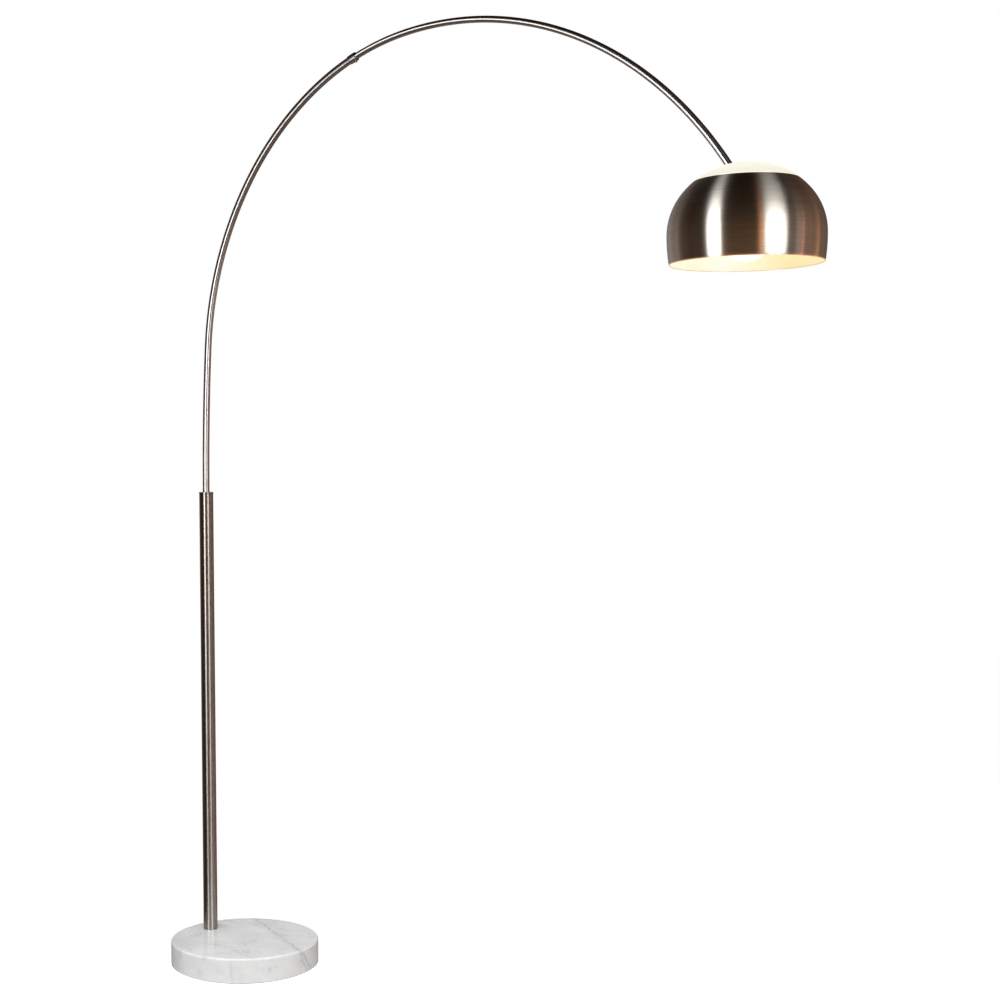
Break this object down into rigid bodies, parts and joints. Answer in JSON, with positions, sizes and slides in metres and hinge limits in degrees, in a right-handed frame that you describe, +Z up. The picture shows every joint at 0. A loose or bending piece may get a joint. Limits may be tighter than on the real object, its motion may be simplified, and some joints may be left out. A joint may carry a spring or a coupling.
{
  "type": "arc floor lamp",
  "caption": "Arc floor lamp with a round marble base, upright pole, long telescoping bent arm and a domed brushed metal shade with an opal top cap.",
  "frame": {"origin": "centre of the underside of the round base, on the floor", "axes": "+X along the arm from the pole towards the shade, +Z up, +Y to the left of the arm"},
  "size_m": [1.571, 0.33, 1.9937],
  "materials": {
    "marble": "polished white marble with soft grey veins",
    "felt": "black felt pad",
    "pole_metal": "polished nickel",
    "arm_metal": "polished nickel",
    "bowl_metal": "brushed round the axis, lacquered",
    "zinc_steel": "zinc plated",
    "brass_metal": "plain",
    "nylon": "moulded",
    "white_enamel": "white baked enamel",
    "opal_acrylic": "translucent opal, glossy",
    "opal_glass": "opal glass, lit",
    "black_plastic": "moulded, satin",
    "porcelain": "glazed",
    "wire_sheath": "satin sheath"
  },
  "bodies": {
    "stand": {"base_slab": "marble", "base_pad": "felt", "base_washer": "zinc_steel", "base_nut": "zinc_steel", "base_rod": "zinc_steel", "inlet_gland": "black_plastic", "pole_tube": "pole_metal", "pole_foot_plug": "zinc_steel", "pole_cap": "pole_metal", "pole_lower_bush": "nylon", "wire_pole": "wire_sheath"},
    "lower_arm": {"lower_arc_tube": "arm_metal", "arm_foot_plug": "brass_metal", "clamp_collar": "arm_metal", "clamp_screw": "zinc_steel", "wire_lower_arm": "wire_sheath"},
    "upper_arm": {"upper_arc_tube": "arm_metal", "tail_ring": "nylon", "arm_end_sleeve": "zinc_steel", "pivot_screw_front": "zinc_steel", "pivot_screw_back": "zinc_steel", "wire_upper_arm": "wire_sheath"},
    "shade": {"bowl_shell": "bowl_metal", "bowl_liner": "white_enamel", "opal_cap": "opal_acrylic", "shade_bridge": "zinc_steel", "shade_yoke": "zinc_steel", "holder_nipple": "zinc_steel", "holder_nut": "zinc_steel", "holder_body": "black_plastic", "holder_ring": "black_plastic", "holder_insert": "porcelain", "holder_screw_shell": "brass_metal", "holder_contact": "brass_metal", "bulb_globe": "opal_glass", "bulb_cap": "zinc_steel", "bulb_contact": "brass_metal", "wire_head": "wire_sheath"}
  },
  "joints": [
    {"name": "arm_swivel", "type": "hinge", "parent": "stand", "child": "lower_arm", "pos_m": [-0.1145, 0, 1.0526], "axis": [0, 0, 1], "range_deg": [-170, 170]},
    {"name": "arm_reach", "type": "hinge", "parent": "lower_arm", "child": "upper_arm", "pos_m": [0.5464, 0, 1.33574], "axis": [0, 1, 0], "range_deg": [-12, 7]},
    {"name": "shade_tilt", "type": "hinge", "parent": "upper_arm", "child": "shade", "pos_m": [1.25075, 0, 1.60737], "axis": [0, 1, 0], "range_deg": [-12, 12]}
  ]
}
